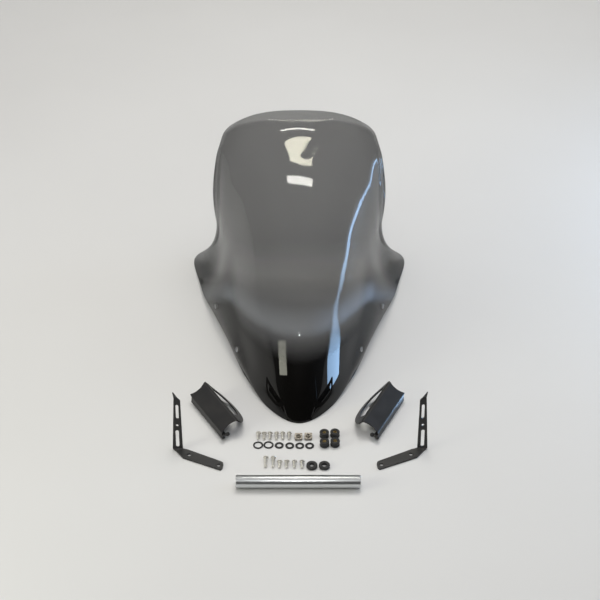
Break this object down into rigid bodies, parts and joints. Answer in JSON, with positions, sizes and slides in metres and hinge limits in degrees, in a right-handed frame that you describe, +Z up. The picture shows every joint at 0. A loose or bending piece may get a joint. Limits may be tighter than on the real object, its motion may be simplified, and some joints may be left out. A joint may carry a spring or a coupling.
{
  "type": "motorcycle windscreen kit",
  "caption": "Smoked touring windscreen with side ears and a black-fading nose, laid out with its slotted and channel brackets, crossbar, screws, nuts and rubber rings.",
  "frame": {"origin": "middle of the laid-out kit's footprint, on the floor it lies on", "axes": "+Y from the crossbar towards the screen's top edge, +Z up from the floor, +X to the kit's right as seen from the crossbar side"},
  "size_m": [0.4397, 0.7381, 0.3271],
  "materials": {
    "smoked_acrylic": "glossy smoked acrylic, fading to opaque gloss black towards the nose",
    "black_steel": "satin black powder coat",
    "aluminium": "satin drawn aluminium tube",
    "zinc_steel": "bright zinc-plated steel",
    "clip_steel": "phosphated spring steel, brownish grey",
    "brass": "turned brass, slightly dull",
    "rubber": "moulded black rubber"
  },
  "bodies": {
    "windscreen": {"windscreen": "smoked_acrylic"},
    "slotted_bracket_left": {"slotted_bracket_left": "black_steel"},
    "slotted_bracket_right": {"slotted_bracket_right": "black_steel"},
    "channel_bracket_left": {"channel_bracket_left": "black_steel"},
    "channel_bracket_right": {"channel_bracket_right": "black_steel"},
    "crossbar": {"crossbar_tube": "aluminium", "crossbar_insert_left": "zinc_steel", "crossbar_insert_right": "zinc_steel"},
    "short_screw_1": {"short_screw_1": "zinc_steel"},
    "short_screw_2": {"short_screw_2": "zinc_steel"},
    "short_screw_3": {"short_screw_3": "zinc_steel"},
    "short_screw_4": {"short_screw_4": "zinc_steel"},
    "short_screw_5": {"short_screw_5": "zinc_steel"},
    "short_screw_6": {"short_screw_6": "zinc_steel"},
    "long_screw_1": {"long_screw_1": "zinc_steel"},
    "long_screw_2": {"long_screw_2": "zinc_steel"},
    "front_screw_1": {"front_screw_1": "zinc_steel"},
    "front_screw_2": {"front_screw_2": "zinc_steel"},
    "front_screw_3": {"front_screw_3": "zinc_steel"},
    "front_screw_4": {"front_screw_4": "zinc_steel"},
    "clip_nut_1": {"clip_nut_1": "clip_steel", "clip_nut_1_barrel": "clip_steel"},
    "clip_nut_2": {"clip_nut_2": "clip_steel", "clip_nut_2_barrel": "clip_steel"},
    "well_nut_1": {"well_nut_1": "rubber", "well_nut_1_insert": "brass"},
    "well_nut_2": {"well_nut_2": "rubber", "well_nut_2_insert": "brass"},
    "well_nut_3": {"well_nut_3": "rubber", "well_nut_3_insert": "brass"},
    "well_nut_4": {"well_nut_4": "rubber", "well_nut_4_insert": "brass"},
    "large_ring_1": {"large_ring_1": "rubber"},
    "large_ring_2": {"large_ring_2": "rubber"},
    "small_ring_1": {"small_ring_1": "rubber"},
    "small_ring_2": {"small_ring_2": "rubber"},
    "small_ring_3": {"small_ring_3": "rubber"},
    "small_ring_4": {"small_ring_4": "rubber"},
    "thick_ring_1": {"thick_ring_1": "rubber"},
    "thick_ring_2": {"thick_ring_2": "rubber"}
  },
  "joints": [
    {"name": "slotted_bracket_left_lift", "type": "slide", "parent": "windscreen", "child": "slotted_bracket_left", "axis": [0, 0, 1], "range_m": [0, 0.15]},
    {"name": "slotted_bracket_right_lift", "type": "slide", "parent": "windscreen", "child": "slotted_bracket_right", "axis": [0, 0, 1], "range_m": [0, 0.15]},
    {"name": "channel_bracket_left_lift", "type": "slide", "parent": "windscreen", "child": "channel_bracket_left", "axis": [0, 0, 1], "range_m": [0, 0.15]},
    {"name": "channel_bracket_right_lift", "type": "slide", "parent": "windscreen", "child": "channel_bracket_right", "axis": [0, 0, 1], "range_m": [0, 0.15]},
    {"name": "crossbar_lift", "type": "slide", "parent": "windscreen", "child": "crossbar", "axis": [0, 0, 1], "range_m": [0, 0.12]},
    {"name": "short_screw_1_lift", "type": "slide", "parent": "windscreen", "child": "short_screw_1", "axis": [0, 0, 1], "range_m": [0, 0.06]},
    {"name": "short_screw_2_lift", "type": "slide", "parent": "windscreen", "child": "short_screw_2", "axis": [0, 0, 1], "range_m": [0, 0.06]},
    {"name": "short_screw_3_lift", "type": "slide", "parent": "windscreen", "child": "short_screw_3", "axis": [0, 0, 1], "range_m": [0, 0.06]},
    {"name": "short_screw_4_lift", "type": "slide", "parent": "windscreen", "child": "short_screw_4", "axis": [0, 0, 1], "range_m": [0, 0.06]},
    {"name": "short_screw_5_lift", "type": "slide", "parent": "windscreen", "child": "short_screw_5", "axis": [0, 0, 1], "range_m": [0, 0.06]},
    {"name": "short_screw_6_lift", "type": "slide", "parent": "windscreen", "child": "short_screw_6", "axis": [0, 0, 1], "range_m": [0, 0.06]},
    {"name": "long_screw_1_lift", "type": "slide", "parent": "windscreen", "child": "long_screw_1", "axis": [0, 0, 1], "range_m": [0, 0.06]},
    {"name": "long_screw_2_lift", "type": "slide", "parent": "windscreen", "child": "long_screw_2", "axis": [0, 0, 1], "range_m": [0, 0.06]},
    {"name": "front_screw_1_lift", "type": "slide", "parent": "windscreen", "child": "front_screw_1", "axis": [0, 0, 1], "range_m": [0, 0.06]},
    {"name": "front_screw_2_lift", "type": "slide", "parent": "windscreen", "child": "front_screw_2", "axis": [0, 0, 1], "range_m": [0, 0.06]},
    {"name": "front_screw_3_lift", "type": "slide", "parent": "windscreen", "child": "front_screw_3", "axis": [0, 0, 1], "range_m": [0, 0.06]},
    {"name": "front_screw_4_lift", "type": "slide", "parent": "windscreen", "child": "front_screw_4", "axis": [0, 0, 1], "range_m": [0, 0.06]},
    {"name": "clip_nut_1_lift", "type": "slide", "parent": "windscreen", "child": "clip_nut_1", "axis": [0, 0, 1], "range_m": [0, 0.06]},
    {"name": "clip_nut_2_lift", "type": "slide", "parent": "windscreen", "child": "clip_nut_2", "axis": [0, 0, 1], "range_m": [0, 0.06]},
    {"name": "well_nut_1_lift", "type": "slide", "parent": "windscreen", "child": "well_nut_1", "axis": [0, 0, 1], "range_m": [0, 0.06]},
    {"name": "well_nut_2_lift", "type": "slide", "parent": "windscreen", "child": "well_nut_2", "axis": [0, 0, 1], "range_m": [0, 0.06]},
    {"name": "well_nut_3_lift", "type": "slide", "parent": "windscreen", "child": "well_nut_3", "axis": [0, 0, 1], "range_m": [0, 0.06]},
    {"name": "well_nut_4_lift", "type": "slide", "parent": "windscreen", "child": "well_nut_4", "axis": [0, 0, 1], "range_m": [0, 0.06]},
    {"name": "large_ring_1_lift", "type": "slide", "parent": "windscreen", "child": "large_ring_1", "axis": [0, 0, 1], "range_m": [0, 0.06]},
    {"name": "large_ring_2_lift", "type": "slide", "parent": "windscreen", "child": "large_ring_2", "axis": [0, 0, 1], "range_m": [0, 0.06]},
    {"name": "small_ring_1_lift", "type": "slide", "parent": "windscreen", "child": "small_ring_1", "axis": [0, 0, 1], "range_m": [0, 0.06]},
    {"name": "small_ring_2_lift", "type": "slide", "parent": "windscreen", "child": "small_ring_2", "axis": [0, 0, 1], "range_m": [0, 0.06]},
    {"name": "small_ring_3_lift", "type": "slide", "parent": "windscreen", "child": "small_ring_3", "axis": [0, 0, 1], "range_m": [0, 0.06]},
    {"name": "small_ring_4_lift", "type": "slide", "parent": "windscreen", "child": "small_ring_4", "axis": [0, 0, 1], "range_m": [0, 0.06]},
    {"name": "thick_ring_1_lift", "type": "slide", "parent": "windscreen", "child": "thick_ring_1", "axis": [0, 0, 1], "range_m": [0, 0.06]},
    {"name": "thick_ring_2_lift", "type": "slide", "parent": "windscreen", "child": "thick_ring_2", "axis": [0, 0, 1], "range_m": [0, 0.06]}
  ]
}
